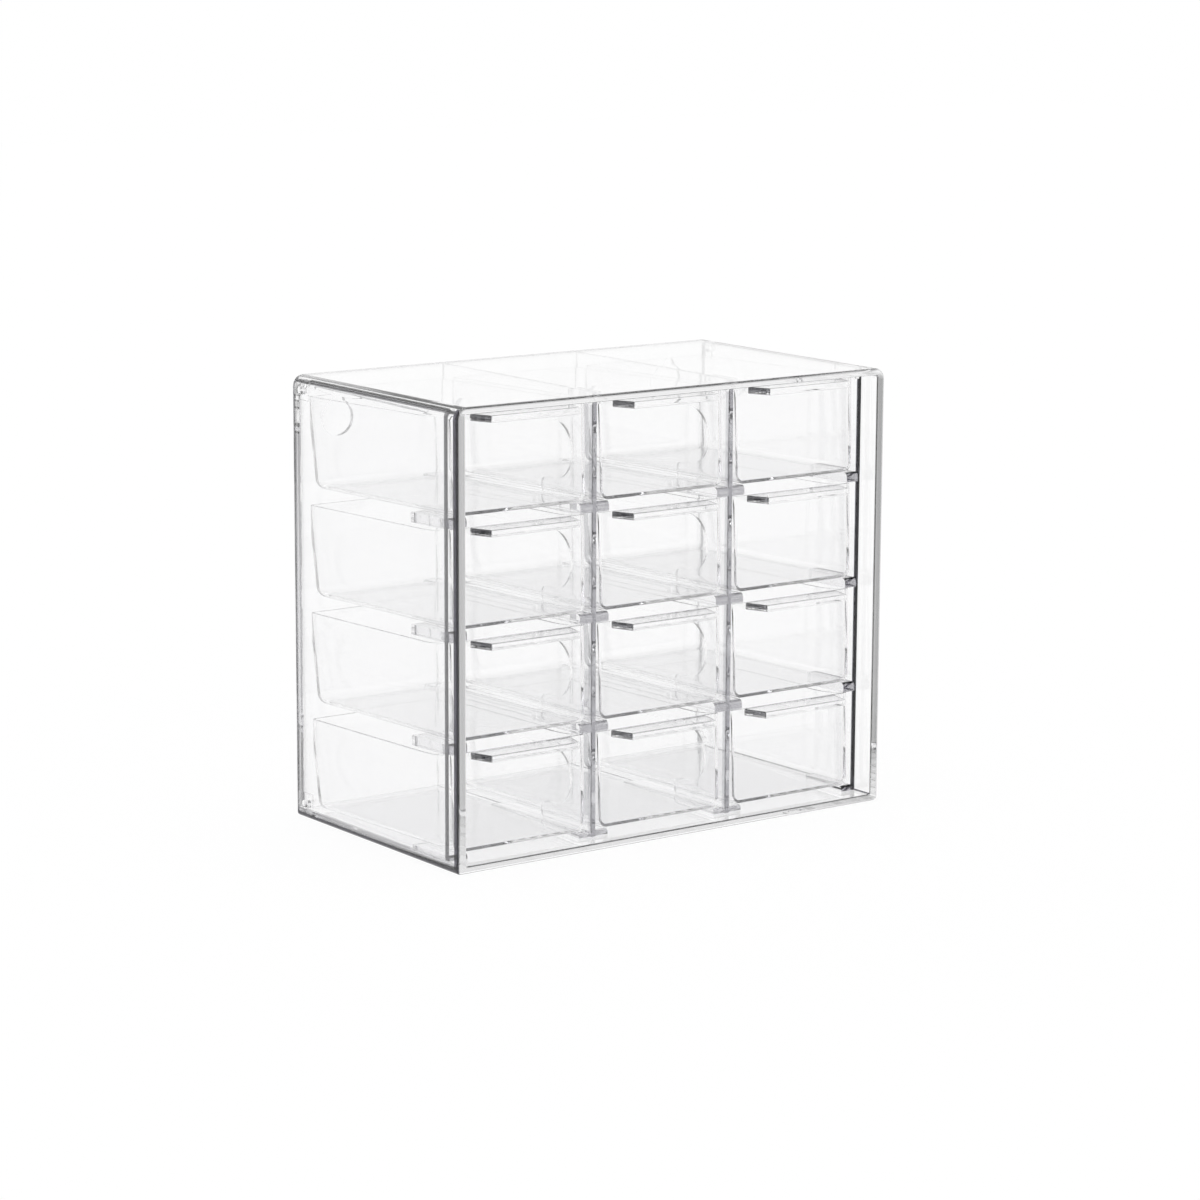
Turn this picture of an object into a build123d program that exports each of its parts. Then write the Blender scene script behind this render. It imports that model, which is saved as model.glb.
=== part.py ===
from build123d import *
from math import atan2, degrees
import os

# A clear drawer organizer: a sleeve case, its back panel, two dividers and two side guides
# with rails, and small pull-out drawers that lean back a little on those rails, so that they
# stay shut. Millimetres, +Z up, the front looks along -Y.
# The origin is under the middle of the case, on the surface that it stands on.

# Case
case_width = 180.0
case_depth = 100.0
case_height = 155.0
side_wall = 3.5
top_wall = 2.4
floor_wall = 2.6
case_edge_radius = 4.0
case_foot_radius = 1.5
case_inner_radius = 0.6
case_rim_outer_radius = 1.0
case_rim_inner_radius = 0.5

# Places of the drawers
column_count = 3
row_count = 4
frame_recess = 8.5
drawer_recess = 9.4
first_floor_height = 2.1
top_headroom = 1.4
row_gap = 4.25
drawer_side_gap = 1.9
drawer_back_gap = 2.0

# Clearances
fit_clearance = 0.1
glide_clearance = 0.15
ledge_headroom = 0.65
rib_clearance = 0.35
cut_overrun = 5.0

# Back panel, with keyholes for hanging and four snap tongues
panel_thickness = 1.6
keyhole_side_inset = 16.4
keyhole_top_inset = 13.5
keyhole_head_radius = 6.2
keyhole_slot_radius = 2.2
keyhole_slot_rise = 6.2
tongue_length = 5.6
tongue_height = 7.0
tongue_thickness = 1.2
snap_length = 3.6
snap_height = 2.4
snap_reach = 2.9
snap_back_inset = 4.9
snap_end_inset = 2.4
snap_slot_clearance = 0.2

# Dividers
divider_thickness = 1.9
divider_edge_radius = 0.4
groove_depth = 0.8
rib_height = 2.0
rib_length = 12.0
cutout_front_web = 11.6
cutout_back_web = 9.0
cutout_top_margin = 8.3
cutout_foot_height = 5.6
cutout_foot_radius = 2.0
cutout_back_radius = 4.0

# Side guides
guide_thickness = 0.9
guide_edge_radius = 0.5
guide_ledge_length = 21.5

# Rails on the dividers and guides
ledge_reach = 5.0
ledge_length = 29.1
ledge_end_radius = 1.2
ledge_lead_radius = 1.5
ledge_edge_radius = 0.5
rail_height = 1.6
rail_fall = 2.1
floor_rail_length = 53.0
# How far ledges and rails run into the rounded front edge of their plate
root_share = 0.5

# Drawers
drawer_wall = 1.0
drawer_floor = 1.0
drawer_draft = 0.4
drawer_corner_radius = 3.6
drawer_back_lean = 4.4
drawer_back_radius = 4.0
drawer_plan_radius = 2.4
drawer_front_radius = 0.8
drawer_inner_radius = 0.4
drawer_rim_drop = 1.5
drawer_rim_sweep = 16.0
lip_side_inset = 8.1
lip_flare = 2.5
lip_front_inset = 0.4
lip_height = 2.4
lip_corner_radius = 0.8
lip_edge_radius = 0.4

# Worked out from the sizes above
case_front = -case_depth / 2
case_back = case_depth / 2
inner_width = case_width - 2 * side_wall
inner_height = case_height - floor_wall - top_wall
inner_top = case_height - top_wall
panel_front = case_back - panel_thickness
frame_front = case_front + frame_recess
frame_back = panel_front - fit_clearance
guide_face = inner_width / 2 - fit_clearance - guide_thickness
dividers_width = (column_count - 1) * divider_thickness
cell_width = (2 * guide_face - dividers_width) / column_count
column_pitch = cell_width + divider_thickness
drawer_width = cell_width - 2 * drawer_side_gap
drawer_front = case_front + drawer_recess
drawer_back = panel_front - drawer_back_gap
rows_height = inner_height - first_floor_height - top_headroom
drawer_height = (rows_height - (row_count - 1) * row_gap) / row_count
row_pitch = drawer_height + row_gap
ledge_height = row_gap - glide_clearance - ledge_headroom
rib_width = drawer_side_gap - fit_clearance - rib_clearance
rail_angle = degrees(atan2(rail_fall, frame_back - frame_front))
column_places = [(index - (column_count - 1) / 2) * column_pitch for index in range(column_count)]
row_floors = [floor_wall + first_floor_height + index * row_pitch for index in range(row_count)]
divider_places = [place + column_pitch / 2 for place in column_places[:-1]]


def along_depth(sketch, front, back):
    """A front-view sketch, X across and Z up, drawn out along Y."""
    return extrude(Plane.XZ.offset(-back) * sketch, back - front, dir=(0, -1, 0))


def along_width(sketch, left, right):
    """A side-view sketch, Y across and Z up, drawn out along X."""
    return extrude(Plane.YZ.offset(left) * sketch, right - left, dir=(1, 0, 0))


def along_height(sketch, bottom, top):
    """A plan-view sketch, X across and Y away, drawn out along Z."""
    return extrude(Plane.XY.offset(bottom) * sketch, top - bottom, dir=(0, 0, 1))


def block(x_low, x_high, y_low, y_high, z_low, z_high):
    """A plain block between two corners."""
    size = (x_high - x_low, y_high - y_low, z_high - z_low)
    middle = ((x_low + x_high) / 2, (y_low + y_high) / 2, (z_low + z_high) / 2)
    return Pos(*middle) * Box(*size)


def snap_pip(reach, clearance):
    """An oblong pip that lies along Y and reaches along X, drawn from the origin."""
    length = snap_length + 2 * clearance
    height = snap_height + 2 * clearance
    return along_width(SlotOverall(length, height), 0, reach)


def snap_centres():
    """Where the lower and the upper snap of a side wall lie, as depth and height."""
    depth = case_back - snap_back_inset
    low = floor_wall + snap_end_inset
    high = inner_top - snap_end_inset
    return [(depth, low), (depth, high)]


def make_case():
    """The sleeve: four walls, divider grooves in the floor, ribs under the top, snap slots."""
    outline = Pos(0, case_height / 2) * Rectangle(case_width, case_height)
    outline = fillet(outline.vertices().group_by(Axis.Y)[-1], case_edge_radius)
    outline = fillet(outline.vertices().group_by(Axis.Y)[0], case_foot_radius)
    opening = RectangleRounded(inner_width, inner_height, case_inner_radius)
    outline -= Pos(0, floor_wall + inner_height / 2) * opening
    sleeve = along_depth(outline, case_front, case_back)
    rim = sleeve.faces().sort_by(Axis.Y)[0]
    sleeve = fillet(rim.outer_wire().edges(), case_rim_outer_radius)
    rim = sleeve.faces().sort_by(Axis.Y)[0]
    sleeve = fillet(rim.inner_wires()[0].edges(), case_rim_inner_radius)
    groove_half = divider_thickness / 2 + fit_clearance
    rib_back = frame_front + rib_length
    rib_bottom = inner_top - rib_height
    for place in divider_places:
        sleeve -= block(place - groove_half, place + groove_half, frame_front - fit_clearance,
                        case_back + cut_overrun, floor_wall - groove_depth, floor_wall + cut_overrun)
        for side in (-1, 1):
            near, far = sorted((place + side * groove_half, place + side * (groove_half + rib_width)))
            sleeve += block(near, far, frame_front, rib_back, rib_bottom, inner_top)
    for side in (-1, 1):
        near, far = sorted((side * (guide_face - fit_clearance), side * (guide_face - fit_clearance - rib_width)))
        sleeve += block(near, far, frame_front, rib_back, rib_bottom, inner_top)
        for depth, height in snap_centres():
            slot = snap_pip(case_width, snap_slot_clearance)
            sleeve -= Pos(side * case_width / 2 - case_width / 2, depth, height) * slot
    return sleeve


def make_panel():
    """The back panel, flush with the back edge of the sleeve."""
    width = inner_width - 2 * fit_clearance
    height = inner_height - 2 * fit_clearance
    outline = RectangleRounded(width, height, case_inner_radius)
    for side in (-1, 1):
        head_place = (side * (width / 2 - keyhole_side_inset), height / 2 - keyhole_top_inset)
        outline -= Pos(*head_place) * Circle(keyhole_head_radius)
        outline -= Pos(head_place[0], head_place[1] + keyhole_slot_rise) * Circle(keyhole_slot_radius)
        outline -= Pos(head_place[0], head_place[1] + keyhole_slot_rise / 2) * Rectangle(
            2 * keyhole_slot_radius, keyhole_slot_rise)
    panel = along_depth(Pos(0, floor_wall + inner_height / 2) * outline, panel_front, case_back)
    for side in (-1, 1):
        for depth, height in snap_centres():
            low = max(height - tongue_height / 2, floor_wall + case_inner_radius)
            high = min(height + tongue_height / 2, inner_top - case_inner_radius)
            near, far = sorted((side * width / 2, side * (width / 2 - tongue_thickness)))
            panel += block(near, far, panel_front - tongue_length, panel_front, low, high)
            pip = snap_pip(snap_reach + tongue_thickness / 2, 0)
            if side < 0:
                pip = mirror(pip, Plane.YZ)
            panel += Pos(side * (width / 2 - tongue_thickness / 2), depth, height) * pip
    return panel


def row_frame(floor):
    """Places a piece drawn level, with the drawer's underside at zero, on one row's falling rails."""
    return Pos(0, frame_front, floor) * Rot(X=-rail_angle) * Pos(0, -frame_front, 0)


def above_floor(solid):
    """The part of a rail that stands clear of the case floor."""
    room = block(-case_width, case_width, case_front, case_back, floor_wall + fit_clearance, case_height)
    return solid & room


def make_ledge(root, tip, length):
    """A wide ledge from the front of the frame: a lead-in at its front, a round free corner behind."""
    near, far = sorted((root, tip))
    plan = Pos((near + far) / 2, frame_front + length / 2) * Rectangle(far - near, length)
    corner = plan.vertices().sort_by_distance((tip, frame_front + length, 0))[0]
    plan = fillet(corner, ledge_end_radius)
    ledge = along_height(plan, -glide_clearance - ledge_height, -glide_clearance)
    top_edge = ledge.edges().filter_by(Axis.X).group_by(Axis.Y)[0].sort_by(Axis.Z)[-1]
    ledge = fillet(top_edge, ledge_lead_radius)
    foot_edge = ledge.edges().filter_by(Axis.X).group_by(Axis.Y)[0].sort_by(Axis.Z)[0]
    return fillet(foot_edge, ledge_edge_radius)


def make_rail(root, tip, length):
    """The thin rail that carries on behind a ledge."""
    near, far = sorted((root, tip))
    start = frame_front + ledge_length / 2
    return block(near, far, start, frame_front + length, -glide_clearance - rail_height, -glide_clearance)


def cutout_sketch():
    """The opening in a divider beside one drawer: a round front end over a foot, open behind it."""
    top = row_pitch - glide_clearance - ledge_height - cutout_top_margin
    foot_back = frame_front + ledge_length
    rail_top = -glide_clearance
    back = frame_back - cutout_back_web
    radius = (top - cutout_foot_height) / 2
    round_centre = frame_front + cutout_front_web + radius
    behind = Pos((foot_back + back) / 2, (rail_top + top) / 2) * Rectangle(back - foot_back, top - rail_top)
    behind = fillet(behind.vertices().group_by(Axis.X)[-1], cutout_back_radius)
    over_foot = Pos((round_centre + foot_back) / 2, (cutout_foot_height + top) / 2) * Rectangle(
        foot_back - round_centre, top - cutout_foot_height)
    joined = behind + over_foot + Pos(round_centre, cutout_foot_height + radius) * Circle(radius)
    foot_corner = joined.vertices().sort_by_distance((foot_back, cutout_foot_height, 0))[0]
    return fillet(foot_corner, cutout_foot_radius)


def make_divider(place):
    """A plate between two columns, with ledges and rails on both of its faces."""
    half = divider_thickness / 2
    bottom = floor_wall - groove_depth + fit_clearance
    top = inner_top - fit_clearance
    outline = Pos((frame_front + frame_back) / 2, (bottom + top) / 2) * Rectangle(
        frame_back - frame_front, top - bottom)
    cutout = cutout_sketch()
    for floor in row_floors:
        outline -= Pos(frame_front, floor) * Rot(Z=-rail_angle) * Pos(-frame_front, 0) * cutout
    plate = along_width(outline, place - half, place + half)
    plate = fillet(plate.edges().filter_by(Axis.Z).group_by(Axis.Y)[0], divider_edge_radius)
    for floor in row_floors:
        rail_length = floor_rail_length if floor == row_floors[0] else frame_back - frame_front
        for side in (-1, 1):
            root = place + side * (half - divider_edge_radius * root_share)
            tip = place + side * (half + ledge_reach)
            carrier = make_ledge(root, tip, ledge_length) + make_rail(root, tip, rail_length)
            plate += above_floor(row_frame(floor) * carrier)
    return plate


def make_guide(side):
    """A plate against one side wall of the case, with a short ledge for each row."""
    outer = side * (guide_face + guide_thickness)
    near, far = sorted((side * guide_face, outer))
    bottom = floor_wall + fit_clearance
    top = inner_top - fit_clearance
    section = Pos((near + far) / 2, (bottom + top) / 2) * Rectangle(guide_thickness, top - bottom)
    corners = section.vertices().group_by(Axis.X)[-1 if side > 0 else 0]
    section = fillet(corners, case_inner_radius)
    plate = along_depth(section, frame_front, frame_back)
    front_edges = plate.edges().filter_by(Axis.Z).group_by(Axis.Y)[0].sort_by(Axis.X)
    plate = fillet(front_edges[0 if side > 0 else -1], guide_edge_radius)
    for depth, height in snap_centres():
        low = height - tongue_height / 2 - fit_clearance
        high = height + tongue_height / 2 + fit_clearance
        if height < case_height / 2:
            low = bottom - cut_overrun
        else:
            high = top + cut_overrun
        plate -= block(near - cut_overrun, far + cut_overrun, panel_front - tongue_length - fit_clearance,
                       frame_back + cut_overrun, low, high)
    root = side * (guide_face + guide_edge_radius * root_share)
    tip = side * (guide_face - ledge_reach)
    for floor in row_floors:
        plate += above_floor(row_frame(floor) * make_ledge(root, tip, guide_ledge_length))
    return plate


def drawer_body(inset, floor, edge_radius):
    """The drawer's tapered box, pulled in by a wall on each side and raised by a floor."""
    top_half = drawer_width / 2 - inset
    foot_half = top_half - drawer_draft
    front = drawer_front + inset
    back_top = drawer_back - inset
    back_foot = back_top - drawer_back_lean
    section = Polygon((-foot_half, floor), (foot_half, floor), (top_half, drawer_height),
                      (-top_half, drawer_height), align=None)
    section = fillet(section.vertices().group_by(Axis.Y)[0], drawer_corner_radius - inset)
    profile = Polygon((front, floor), (back_foot, floor), (back_top, drawer_height),
                      (front, drawer_height), align=None)
    profile = fillet(profile.vertices().sort_by_distance((back_foot, floor, 0))[0], drawer_back_radius - inset)
    profile = fillet(profile.vertices().sort_by_distance((front, floor, 0))[0], edge_radius)
    plan = Polygon((-top_half, front), (top_half, front), (top_half, back_top), (-top_half, back_top), align=None)
    plan = fillet(plan.vertices().group_by(Axis.Y)[-1], drawer_plan_radius - inset)
    plan = fillet(plan.vertices().group_by(Axis.Y)[0], edge_radius)
    body = along_depth(section, front, back_top)
    body &= along_width(profile, -top_half, top_half)
    body &= along_height(plan, floor, drawer_height)
    return body


def rim_cut():
    """What is taken off above the sides and back, which sweep down from the taller front."""
    rim = drawer_height - drawer_rim_drop
    front = drawer_front + drawer_wall
    sweep_back = front + drawer_rim_sweep
    over = drawer_height + cut_overrun
    behind = drawer_back + cut_overrun
    sweep = TangentArc((sweep_back, rim), (front, drawer_height), tangent=(-1, 0))
    edges = [
        sweep,
        Line((front, drawer_height), (front, over)),
        Line((front, over), (behind, over)),
        Line((behind, over), (behind, rim)),
        Line((behind, rim), (sweep_back, rim)),
    ]
    return along_width(make_face(edges), -drawer_width, drawer_width)


def make_lip():
    """The pull: a flat tab along the top of a drawer front, as long as the drawer is set back."""
    half = drawer_width / 2 - lip_side_inset
    inside = drawer_front + drawer_wall / 2
    outside = case_front + lip_front_inset
    plan = Polygon((-half - lip_flare, inside), (-half - lip_flare, drawer_front), (-half, outside),
                   (half, outside), (half + lip_flare, drawer_front), (half + lip_flare, inside), align=None)
    plan = fillet(plan.vertices().group_by(Axis.Y)[0], lip_corner_radius)
    lip = along_height(plan, drawer_height - lip_height, drawer_height)
    return fillet(lip.edges().group_by(Axis.Y)[0], lip_edge_radius)


def make_drawer():
    """One open drawer, moulded in one piece with its pull, floor underside at zero height."""
    shell = drawer_body(0, 0, drawer_front_radius)
    shell -= drawer_body(drawer_wall, drawer_floor, drawer_inner_radius)
    shell -= rim_cut()
    return shell + make_lip()


os.makedirs("parts", exist_ok=True)
export_step(make_case(), "parts/case_sleeve.step")
export_step(make_panel(), "parts/back_panel.step")
for name, place in zip(("left", "right"), divider_places):
    export_step(make_divider(place), f"parts/divider_{name}.step")
for name, side in (("left", -1), ("right", 1)):
    export_step(make_guide(side), f"parts/side_guide_{name}.step")
drawer = make_drawer()
for row, floor in enumerate(reversed(row_floors), start=1):
    for column, place in enumerate(column_places, start=1):
        placed = row_frame(floor) * Pos(place, 0, 0) * drawer
        export_step(placed, f"parts/drawer_row{row}_col{column}.step")
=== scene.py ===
import math

import bpy
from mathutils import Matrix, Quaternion, Vector


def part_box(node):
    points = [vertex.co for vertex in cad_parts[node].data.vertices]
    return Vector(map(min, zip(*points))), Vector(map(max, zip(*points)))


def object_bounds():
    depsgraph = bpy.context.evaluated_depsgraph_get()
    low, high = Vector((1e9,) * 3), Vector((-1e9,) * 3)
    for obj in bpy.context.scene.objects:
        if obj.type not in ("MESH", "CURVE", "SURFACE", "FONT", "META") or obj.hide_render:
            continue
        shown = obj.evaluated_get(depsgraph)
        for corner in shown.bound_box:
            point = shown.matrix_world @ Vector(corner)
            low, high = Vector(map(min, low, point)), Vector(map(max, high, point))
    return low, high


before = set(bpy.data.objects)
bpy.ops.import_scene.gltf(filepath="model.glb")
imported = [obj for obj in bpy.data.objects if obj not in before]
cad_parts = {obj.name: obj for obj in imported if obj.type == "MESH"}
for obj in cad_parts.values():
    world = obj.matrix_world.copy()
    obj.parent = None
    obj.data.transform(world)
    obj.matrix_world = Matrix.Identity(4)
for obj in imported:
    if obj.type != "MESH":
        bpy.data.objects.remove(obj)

cad_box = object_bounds()

# Case sleeve
# The outer sleeve is one clear polystyrene moulding: a top, a floor and two sides, open at the front.
# It is polished in its mould, so it has only faint flow waves, and its long outer edges carry painted
# shade: dark lines along the front rim and foot, softer ones along the brow and back.
SLEEVE_TINT = (1.0, 1.0, 1.0)
SLEEVE_HAZE = (0.998, 0.998, 0.999)
SLEEVE_LOSS = (0.50, 0.49, 0.53)
SLEEVE_LOSS_DENSITY = 1.0
SLEEVE_WAVES = 24.0
WAVE_DEPTH = 0.00001
WAVE_DETAIL = 2.0
POLISH = 0.0
DULL_SPECKS = 0.02
SPECK_SCALE = 420.0
SPECK_DETAIL = 5.0
SPECK_START = 0.45
SPECK_END = 0.75
PLASTIC_IOR = 1.58
SHADOW_LIGHT = (0.95, 0.95, 0.955)
# Painted shade for the sleeve's outer edges, and the bands where it falls.
EDGE_SHADE = (0.012, 0.011, 0.018)
RIM_DEPTH = 0.0022
FOOT_HEIGHT = 0.0018
BACK_DEPTH = 0.0012
BROW_DROP = 0.0012
BROW_HEIGHT = 0.0011
SOFT_EDGE = 0.9
OUTER_WALL = 0.002
ROUNDED_EDGE = (0.2, 0.6)


def moulded_surface():
    """A group for polished mouldings: a tint that drifts, gloss that dulls in specks, flow waves."""
    group = bpy.data.node_groups.new("Moulded surface", "ShaderNodeTree")
    for name, kind in (
        ("Tint", "NodeSocketColor"),
        ("Haze", "NodeSocketColor"),
        ("Polish", "NodeSocketFloat"),
        ("Dull specks", "NodeSocketFloat"),
        ("Wave scale", "NodeSocketFloat"),
    ):
        group.interface.new_socket(name, in_out="INPUT", socket_type=kind)
    for name, kind in (
        ("Colour", "NodeSocketColor"),
        ("Roughness", "NodeSocketFloat"),
        ("Height", "NodeSocketFloat"),
    ):
        group.interface.new_socket(name, in_out="OUTPUT", socket_type=kind)
    nodes = group.nodes
    link = group.links.new
    given = nodes.new("NodeGroupInput")
    result = nodes.new("NodeGroupOutput")
    place = nodes.new("ShaderNodeTexCoord")
    flow = nodes.new("ShaderNodeTexNoise")
    flow.inputs["Detail"].default_value = WAVE_DETAIL
    link(place.outputs["Object"], flow.inputs["Vector"])
    link(given.outputs["Wave scale"], flow.inputs["Scale"])
    specks = nodes.new("ShaderNodeTexNoise")
    specks.inputs["Scale"].default_value = SPECK_SCALE
    specks.inputs["Detail"].default_value = SPECK_DETAIL
    link(place.outputs["Object"], specks.inputs["Vector"])
    tint = nodes.new("ShaderNodeMix")
    tint.data_type = "RGBA"
    link(flow.outputs["Fac"], tint.inputs["Factor"])
    link(given.outputs["Tint"], tint.inputs["A"])
    link(given.outputs["Haze"], tint.inputs["B"])
    link(tint.outputs["Result"], result.inputs["Colour"])
    dull = nodes.new("ShaderNodeMapRange")
    dull.inputs["From Min"].default_value = SPECK_START
    dull.inputs["From Max"].default_value = SPECK_END
    link(specks.outputs["Fac"], dull.inputs["Value"])
    link(given.outputs["Polish"], dull.inputs["To Min"])
    link(given.outputs["Dull specks"], dull.inputs["To Max"])
    link(dull.outputs["Result"], result.inputs["Roughness"])
    link(flow.outputs["Fac"], result.inputs["Height"])
    return group


SURFACE = moulded_surface()


def clear_plastic(name, tint, haze, waves, loss, density):
    """Clear glossy plastic that loses a little light along its depth and casts a pale shadow."""
    material = bpy.data.materials.new(name)
    material.use_nodes = True
    nodes = material.node_tree.nodes
    link = material.node_tree.links.new
    output = nodes["Material Output"]
    shader = nodes["Principled BSDF"]
    shader.inputs["IOR"].default_value = PLASTIC_IOR
    shader.inputs["Transmission Weight"].default_value = 1.0
    surface = nodes.new("ShaderNodeGroup")
    surface.node_tree = SURFACE
    surface.inputs["Tint"].default_value = (*tint, 1.0)
    surface.inputs["Haze"].default_value = (*haze, 1.0)
    surface.inputs["Polish"].default_value = POLISH
    surface.inputs["Dull specks"].default_value = DULL_SPECKS
    surface.inputs["Wave scale"].default_value = waves
    link(surface.outputs["Colour"], shader.inputs["Base Color"])
    link(surface.outputs["Roughness"], shader.inputs["Roughness"])
    bump = nodes.new("ShaderNodeBump")
    bump.inputs["Distance"].default_value = WAVE_DEPTH
    link(surface.outputs["Height"], bump.inputs["Height"])
    link(bump.outputs["Normal"], shader.inputs["Normal"])
    path = nodes.new("ShaderNodeLightPath")
    passing = nodes.new("ShaderNodeBsdfTransparent")
    passing.inputs["Color"].default_value = (*SHADOW_LIGHT, 1.0)
    mix = nodes.new("ShaderNodeMixShader")
    link(path.outputs["Is Shadow Ray"], mix.inputs["Fac"])
    link(shader.outputs["BSDF"], mix.inputs[1])
    link(passing.outputs["BSDF"], mix.inputs[2])
    link(mix.outputs["Shader"], output.inputs["Surface"])
    depth = nodes.new("ShaderNodeVolumeAbsorption")
    depth.inputs["Color"].default_value = (*loss, 1.0)
    depth.inputs["Density"].default_value = density
    link(depth.outputs["Volume"], output.inputs["Volume"])
    return material


def finish_nodes(names, material):
    """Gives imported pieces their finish."""
    for name in names:
        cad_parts[name].material_slots[0].material = material


def combine(tree, operation, first, second):
    """Adds a maths node between two sockets or numbers."""
    node = tree.nodes.new("ShaderNodeMath")
    node.operation = operation
    for index, value in enumerate((first, second)):
        if isinstance(value, float):
            node.inputs[index].default_value = value
        else:
            tree.links.new(value, node.inputs[index])
    return node.outputs[0]


def absolute(tree, value):
    """The size of a socket's value without its sign."""
    return combine(tree, "ABSOLUTE", value, 0.0)


def face_sockets(tree):
    """The place of a point on a piece, and the way that its face looks, as X, Y and Z sockets."""
    given = tree.nodes.new("ShaderNodeTexCoord")
    place = tree.nodes.new("ShaderNodeSeparateXYZ")
    tree.links.new(given.outputs["Object"], place.inputs[0])
    facing = tree.nodes.new("ShaderNodeSeparateXYZ")
    tree.links.new(given.outputs["Normal"], facing.inputs[0])
    return place.outputs, facing.outputs


def stretch(tree, value, start, end):
    """Maps a socket to 0 at the start and 1 at the end."""
    node = tree.nodes.new("ShaderNodeMapRange")
    tree.links.new(value, node.inputs["Value"])
    node.inputs["From Min"].default_value = start
    node.inputs["From Max"].default_value = end
    return node.outputs["Result"]


def shade_where(material, mask, shade):
    """Paints shade into a material's colour, deepening it where a mask is 1."""
    tree = material.node_tree
    tint = tree.nodes.new("ShaderNodeMix")
    tint.data_type = "RGBA"
    tint.blend_type = "MULTIPLY"
    tint.inputs["B"].default_value = (*shade, 1.0)
    colour = tree.nodes["Principled BSDF"].inputs["Base Color"]
    tree.links.new(colour.links[0].from_socket, tint.inputs["A"])
    tree.links.new(mask, tint.inputs["Factor"])
    tree.links.new(tint.outputs["Result"], colour)


def outer_edges(tree):
    """Marks where shade is painted on the side walls' long outer edges: rim and foot in full, brow and
    back more softly.
    """
    low_corner, high_corner = cad_box
    brow_top = high_corner[2] - BROW_DROP
    place, facing = face_sockets(tree)
    outer = combine(tree, "GREATER_THAN", absolute(tree, place["X"]), high_corner[0] - OUTER_WALL)
    turned = stretch(tree, absolute(tree, facing["X"]), *ROUNDED_EDGE)
    rim = combine(tree, "LESS_THAN", place["Y"], low_corner[1] + RIM_DEPTH)
    foot = combine(tree, "LESS_THAN", place["Z"], low_corner[2] + FOOT_HEIGHT)
    back = combine(tree, "GREATER_THAN", place["Y"], high_corner[1] - BACK_DEPTH)
    under = combine(tree, "LESS_THAN", place["Z"], brow_top)
    over = combine(tree, "GREATER_THAN", place["Z"], brow_top - BROW_HEIGHT)
    soft = combine(tree, "MAXIMUM", back, combine(tree, "MULTIPLY", under, over))
    full = combine(tree, "MAXIMUM", rim, foot)
    edge = combine(tree, "MAXIMUM", full, combine(tree, "MULTIPLY", soft, SOFT_EDGE))
    return combine(tree, "MULTIPLY", edge, combine(tree, "MULTIPLY", outer, turned))


sleeve_plastic = clear_plastic(
    "Clear sleeve", SLEEVE_TINT, SLEEVE_HAZE, SLEEVE_WAVES, SLEEVE_LOSS, SLEEVE_LOSS_DENSITY)
# Painted shade: the sleeve's outer edges are darkened to stand in for the dark lines of light lost in
# thick clear walls.
shade_where(sleeve_plastic, outer_edges(sleeve_plastic.node_tree), EDGE_SHADE)
finish_nodes(["case_sleeve"], sleeve_plastic)

# Back panel
# A flat plate with two keyholes for hanging, moulded in the same clear polystyrene as the sleeve.
# It closes the sleeve from behind, where its four tongues snap into slots in the side walls.
BACK_HAZE = (0.996, 0.996, 0.998)
BACK_WAVES = 30.0
BACK_LOSS_DENSITY = 4.0
finish_nodes(["back_panel"], clear_plastic(
    "Clear back", SLEEVE_TINT, BACK_HAZE, BACK_WAVES, SLEEVE_LOSS, BACK_LOSS_DENSITY))

# Dividers
# Two upright plates of clear polystyrene, each moulded with its ledges, rails and cut-outs.
# They stand in grooves in the sleeve's floor, and ribs under its top hold them upright.
DIVIDER_HAZE = (0.996, 0.996, 0.998)
DIVIDER_WAVES = 40.0
DIVIDER_LOSS_DENSITY = 8.0
CUTOUT_SHADE = (0.55, 0.55, 0.57)
PLATE_END = (0.3, 0.7)
FRONT_EDGE = 0.002
DIVIDER_PLATE = 0.0019
DIVIDER_EDGE_SHADE = (0.6, 0.6, 0.62)
frame_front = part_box("divider_left")[0][1]


def plate_end_marks():
    """A group that marks where shade is painted: a plate's edges which look to the front or back, its
    cut-outs' too.
    """
    group = bpy.data.node_groups.new("Plate ends", "ShaderNodeTree")
    group.interface.new_socket("Start", in_out="INPUT", socket_type="NodeSocketFloat")
    group.interface.new_socket("Mask", in_out="OUTPUT", socket_type="NodeSocketFloat")
    given = group.nodes.new("NodeGroupInput")
    result = group.nodes.new("NodeGroupOutput")
    place, facing = face_sockets(group)
    behind = combine(group, "GREATER_THAN", place["Y"], given.outputs["Start"])
    ends = stretch(group, absolute(group, facing["Y"]), *PLATE_END)
    group.links.new(combine(group, "MULTIPLY", ends, behind), result.inputs["Mask"])
    return group


PLATE_ENDS = plate_end_marks()


def plate_ends(tree, start):
    """Places the marks of a plate's ends in a material, from a start on."""
    marks = tree.nodes.new("ShaderNodeGroup")
    marks.node_tree = PLATE_ENDS
    marks.inputs["Start"].default_value = start
    return marks.outputs["Mask"]


def divider_edge(tree):
    """Marks where shade is painted: the front edge of the dividers' plates, and the middle of their
    ledges' fronts with it.
    """
    place = face_sockets(tree)[0]
    low_corner, high_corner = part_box("divider_right")
    middle = (low_corner[0] + high_corner[0]) / 2
    aside = absolute(tree, combine(tree, "SUBTRACT", absolute(tree, place["X"]), middle))
    plate = combine(tree, "LESS_THAN", aside, DIVIDER_PLATE / 2)
    front = combine(tree, "LESS_THAN", place["Y"], frame_front + FRONT_EDGE)
    return combine(tree, "MULTIPLY", plate, front)


divider_plastic = clear_plastic(
    "Clear divider", SLEEVE_TINT, DIVIDER_HAZE, DIVIDER_WAVES, SLEEVE_LOSS, DIVIDER_LOSS_DENSITY)
divider_ends = plate_ends(divider_plastic.node_tree, frame_front + FRONT_EDGE)
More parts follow.
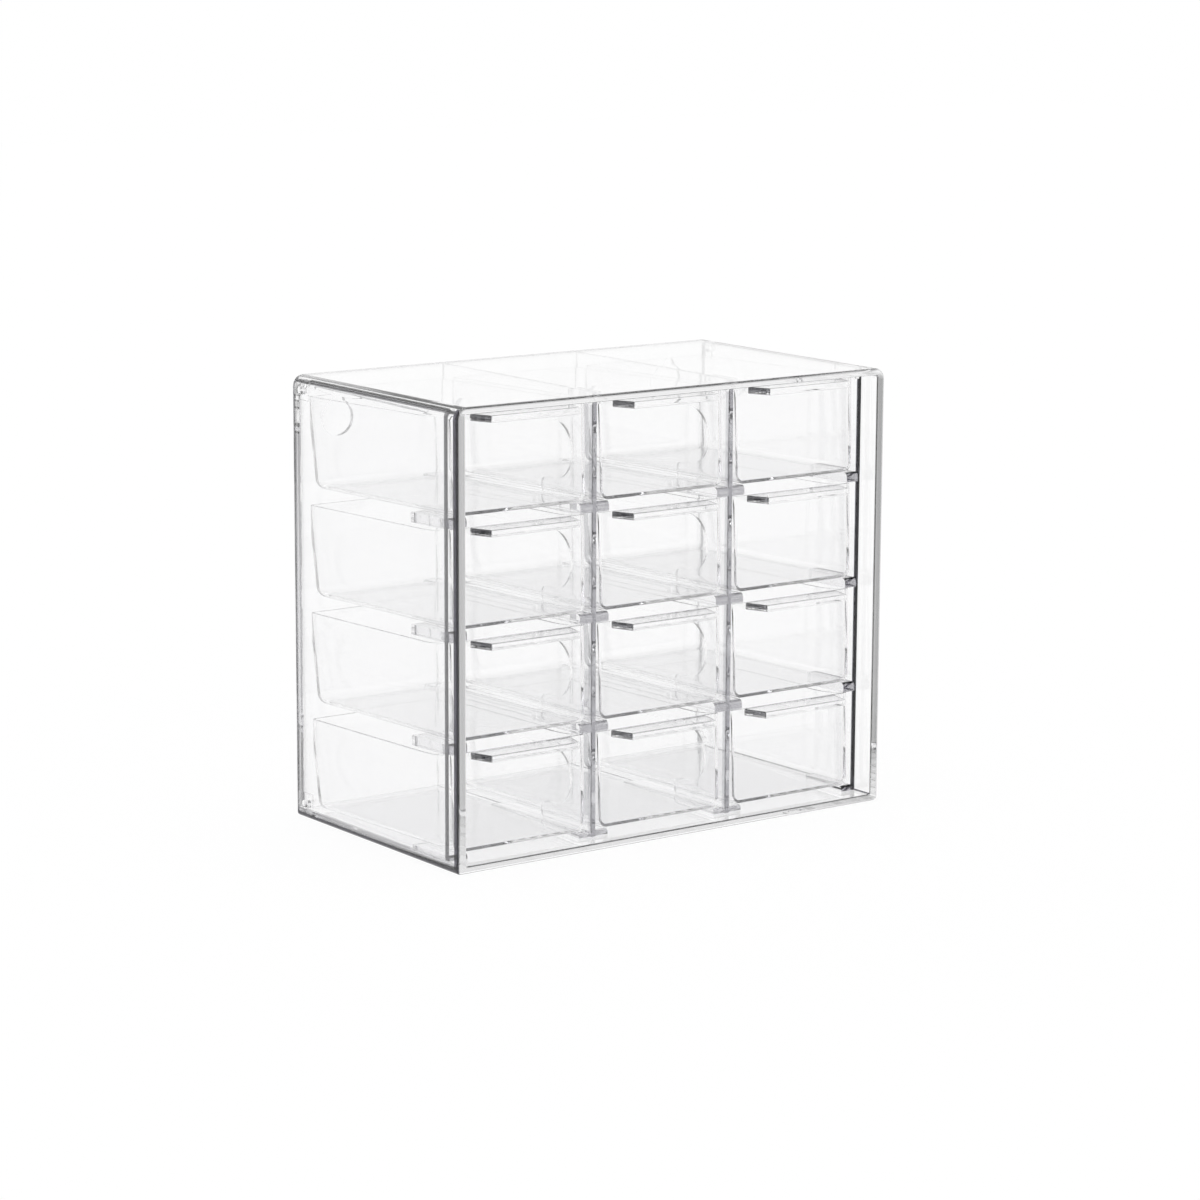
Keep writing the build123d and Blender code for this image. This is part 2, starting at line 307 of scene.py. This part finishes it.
# Painted shade on the dividers' cut-out edges, back ends and front edges.
shade_where(divider_plastic, divider_ends, CUTOUT_SHADE)
shade_where(divider_plastic, divider_edge(divider_plastic.node_tree), DIVIDER_EDGE_SHADE)
finish_nodes(["divider_left", "divider_right"], divider_plastic)

# Side guides
# Two thin plates of clear polystyrene that carry the outer ledges, moulded in one with them.
# They stand against the sleeve's side walls, and their front edges and ledge back ends carry painted
# shade.
GUIDE_HAZE = (0.996, 0.996, 0.998)
GUIDE_WAVES = 40.0
GUIDE_LOSS_DENSITY = 40.0
GUIDE_EDGE_SHADE = (0.01, 0.01, 0.014)
GUIDE_EDGE_DEPTH = 0.0013
GUIDE_PLATE = 0.00095


def guide_edge(tree):
    """Marks where shade is painted: the front edge of the guides' plates, apart from their ledges."""
    place = face_sockets(tree)[0]
    plate_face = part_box("side_guide_right")[1][0] - GUIDE_PLATE
    plate = combine(tree, "GREATER_THAN", absolute(tree, place["X"]), plate_face)
    front = combine(tree, "LESS_THAN", place["Y"], frame_front + GUIDE_EDGE_DEPTH)
    return combine(tree, "MULTIPLY", plate, front)


guide_plastic = clear_plastic(
    "Clear guide", SLEEVE_TINT, GUIDE_HAZE, GUIDE_WAVES, SLEEVE_LOSS, GUIDE_LOSS_DENSITY)
guide_ends = plate_ends(guide_plastic.node_tree, frame_front + FRONT_EDGE)
# Painted shade on the guides' ledge back ends and the front edges of their plates.
shade_where(guide_plastic, guide_ends, CUTOUT_SHADE)
shade_where(guide_plastic, guide_edge(guide_plastic.node_tree), GUIDE_EDGE_SHADE)
finish_nodes(["side_guide_left", "side_guide_right"], guide_plastic)

# Drawers
# Twelve drawers of clear polystyrene, each one thin moulding with a pull lip along the top of its front.
# They slide on the ledges. Their floors carry a pale painted shade, and their wall tops and lip ends a
# dark painted shade.
DRAWER_HAZE = (0.998, 0.998, 0.999)
DRAWER_WAVES = 45.0
DRAWER_LOSS_DENSITY = 1.0
DRAWER_ROWS = 4
DRAWER_COLUMNS = 3
PAINTED_FLOOR_SHADE = (0.84, 0.84, 0.845)
DRAWER_FLOOR_DEPTH = 0.006
PAINTED_RIM_SHADE = (0.4, 0.4, 0.42)
DRAWER_RIM_HEIGHT = 0.025
LIP_DEPTH = 0.0088
PAINTED_LIP_END_SHADE = (0.1, 0.1, 0.11)
LIP_END = (0.4, 0.8)
LIP_END_HEIGHT = 0.0016
LEVEL_FACE = 0.9
drawer_names = [
    f"drawer_row{row + 1}_col{column + 1}"
    for row in range(DRAWER_ROWS)
    for column in range(DRAWER_COLUMNS)
]
row_feet = [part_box(f"drawer_row{row + 1}_col1")[0][2] for row in range(DRAWER_ROWS)]
row_pitch = (max(row_feet) - min(row_feet)) / (DRAWER_ROWS - 1)
drawer_low, drawer_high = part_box(drawer_names[0])
drawer_tallness = drawer_high[2] - drawer_low[2]


def drawer_places(tree):
    """Marks where shade is painted: the drawers' floors, the tops of their walls behind the lips, and
    the lips' ends.
    """
    place, facing = face_sockets(tree)
    rise = combine(tree, "SUBTRACT", place["Z"], min(row_feet))
    height = combine(tree, "FLOORED_MODULO", rise, row_pitch)
    level = combine(tree, "GREATER_THAN", absolute(tree, facing["Z"]), LEVEL_FACE)
    low = combine(tree, "LESS_THAN", height, DRAWER_FLOOR_DEPTH)
    high = combine(tree, "GREATER_THAN", height, DRAWER_RIM_HEIGHT)
    behind = combine(tree, "GREATER_THAN", place["Y"], drawer_low[1] + LIP_DEPTH)
    outside = combine(tree, "SUBTRACT", 1.0, behind)
    sideways = stretch(tree, absolute(tree, facing["X"]), *LIP_END)
    upper = combine(tree, "GREATER_THAN", height, drawer_tallness - LIP_END_HEIGHT)
    floors = combine(tree, "MULTIPLY", level, low)
    rims = combine(tree, "MULTIPLY", level, combine(tree, "MULTIPLY", high, behind))
    lip_ends = combine(tree, "MULTIPLY", sideways, combine(tree, "MULTIPLY", outside, upper))
    return floors, rims, lip_ends


drawer_plastic = clear_plastic(
    "Clear drawer", SLEEVE_TINT, DRAWER_HAZE, DRAWER_WAVES, SLEEVE_LOSS, DRAWER_LOSS_DENSITY)
floors, rims, lip_ends = drawer_places(drawer_plastic.node_tree)
# Painted shade: the drawer floors are greyed, and their wall tops and lip ends darkened.
shade_where(drawer_plastic, floors, PAINTED_FLOOR_SHADE)
shade_where(drawer_plastic, rims, PAINTED_RIM_SHADE)
shade_where(drawer_plastic, lip_ends, PAINTED_LIP_END_SHADE)
finish_nodes(drawer_names, drawer_plastic)

# Floor
# A plain white table top that the box stands on. It glows white where it is seen, also through the
# plastic, and is still lit from above, so that it keeps the object's shadow;
# light that has turned in the plastic finds its glow and colour with a painted shade, darker towards the
# front.
FLOOR_SIZE = 6.0
FLOOR_DROP = 0.0002
FLOOR_COLOUR = 0.9
SEEN_WHITE = 0.9
THROUGH_WHITE = 0.8
LAST_TURN = 17.0
LOSS_POWER = 2.0
THIN_WALL_TURNS = 24.0
RIM_PASSES = 2.5
FRONT_LIGHT = 0.4
FREE_TURNS = 1.0
TRAPPED_TURNS = 4.0
FLOOR_FRONT = (-0.15, -0.7)


def light_left(tree, path, front):
    """Light left on a path: turns in one thick wall take some, and turned light finds the front dim. On
    the table it is painted shade.
    """
    turns = path.outputs["Glossy Depth"]
    rim = combine(tree, "LESS_THAN", path.outputs["Transmission Depth"], RIM_PASSES)
    thick = combine(tree, "LESS_THAN", turns, THIN_WALL_TURNS)
    wall = combine(tree, "MULTIPLY", rim, thick)
    taken = combine(tree, "POWER", stretch(tree, turns, 0.0, LAST_TURN), LOSS_POWER)
    kept = combine(tree, "SUBTRACT", 1.0, combine(tree, "MULTIPLY", taken, wall))
    shaded = combine(tree, "MULTIPLY", stretch(tree, turns, FREE_TURNS, TRAPPED_TURNS), front)
    dimmed = combine(tree, "MULTIPLY", shaded, 1.0 - FRONT_LIGHT)
    return combine(tree, "MULTIPLY", kept, combine(tree, "SUBTRACT", 1.0, dimmed))


bpy.ops.object.select_all(action="DESELECT")
bpy.ops.mesh.primitive_plane_add(size=FLOOR_SIZE, location=(0, 0, -FLOOR_DROP))
table = bpy.context.object
table.name = "table_top"
paint = bpy.data.materials.new("White table")
paint.use_nodes = True
tree = paint.node_tree
tree.nodes.remove(tree.nodes["Principled BSDF"])
path = tree.nodes.new("ShaderNodeLightPath")
place = face_sockets(tree)[0]
# Painted shade: for light that has turned in the plastic, the table's glow and colour are dimmed, more
# so towards the front.
left = light_left(tree, path, stretch(tree, place["Y"], *FLOOR_FRONT))
lit = tree.nodes.new("ShaderNodeBsdfDiffuse")
tree.links.new(combine(tree, "MULTIPLY", left, FLOOR_COLOUR), lit.inputs["Color"])
glow = tree.nodes.new("ShaderNodeEmission")
tree.links.new(left, glow.inputs["Strength"])
seen = combine(tree, "MULTIPLY", path.outputs["Is Camera Ray"], SEEN_WHITE)
turned_ray = combine(tree, "MAXIMUM", path.outputs["Is Transmission Ray"], path.outputs["Is Glossy Ray"])
through = combine(tree, "MULTIPLY", turned_ray, THROUGH_WHITE)
mix = tree.nodes.new("ShaderNodeMixShader")
tree.links.new(combine(tree, "MAXIMUM", seen, through), mix.inputs["Fac"])
tree.links.new(lit.outputs["BSDF"], mix.inputs[1])
tree.links.new(glow.outputs["Emission"], mix.inputs[2])
tree.links.new(mix.outputs["Shader"], tree.nodes["Material Output"].inputs["Surface"])
table.data.materials.append(paint)

# Studio light
# White walls all round, a dim ceiling and one wide soft light overhead.
# The walls are the world's own light, and the camera sees them as plain white.
WALL_TOP = 0.55
CEILING_START = 0.75
CEILING_LIGHT = 0.12
WORLD_FRONT = (-0.2, -0.8)
LAMP_SPREAD = 60.0
LAMP_STRENGTH = 2.0

world = bpy.data.worlds.new("Studio")
bpy.context.scene.world = world
world.use_nodes = True
tree = world.node_tree
path = tree.nodes.new("ShaderNodeLightPath")
given = tree.nodes.new("ShaderNodeTexCoord")
way = tree.nodes.new("ShaderNodeSeparateXYZ")
tree.links.new(given.outputs["Generated"], way.inputs[0])
rise = stretch(tree, way.outputs["Z"], WALL_TOP, CEILING_START)
walls = combine(tree, "SUBTRACT", 1.0, combine(tree, "MULTIPLY", rise, 1.0 - CEILING_LIGHT))
left = light_left(tree, path, stretch(tree, way.outputs["Y"], *WORLD_FRONT))
level = combine(tree, "MULTIPLY", walls, left)
strength = combine(tree, "MAXIMUM", level, path.outputs["Is Camera Ray"])
backdrop = tree.nodes["Background"]
backdrop.inputs["Color"].default_value = (1.0, 1.0, 1.0, 1.0)
tree.links.new(strength, backdrop.inputs["Strength"])

bpy.ops.object.select_all(action="DESELECT")
bpy.ops.object.light_add(type="SUN")
lamp = bpy.context.object
lamp.name = "Soft light"
lamp.data.angle = math.radians(LAMP_SPREAD)
lamp.data.energy = LAMP_STRENGTH

# Camera
# A long lens to the left of the front and a little above the box, at the photograph's angle.
# It stands where the box's lines in the photograph meet the same lines of the part.
# Light turns many times inside clear walls before it leaves, so paths may be long.
CAMERA_PLACE = Vector((-0.7636, -1.0498, 0.3251))
CAMERA_AIM = Vector((0.0022, -0.0023, 0.0747))
CAMERA_ROLL = 0.24
CAMERA_LENS = 113.6
CAMERA_SENSOR = 36.0
LONGEST_PATH = 110
LONGEST_PASSAGE = 40
MOST_TURNS = 80
MOST_SHADOW_WALLS = 64

lens = bpy.data.cameras.new("Camera")
lens.lens = CAMERA_LENS
lens.sensor_width = CAMERA_SENSOR
camera = bpy.data.objects.new("Camera", lens)
bpy.context.scene.collection.objects.link(camera)
camera.location = CAMERA_PLACE
level_view = (CAMERA_AIM - CAMERA_PLACE).to_track_quat("-Z", "Y")
roll = Quaternion((0.0, 0.0, 1.0), math.radians(CAMERA_ROLL))
camera.rotation_euler = (level_view @ roll).to_euler()

scene = bpy.context.scene
scene.camera = camera
scene.view_settings.view_transform = "Standard"
scene.cycles.max_bounces = LONGEST_PATH
scene.cycles.transmission_bounces = LONGEST_PASSAGE
scene.cycles.glossy_bounces = MOST_TURNS
scene.cycles.transparent_max_bounces = MOST_SHADOW_WALLS
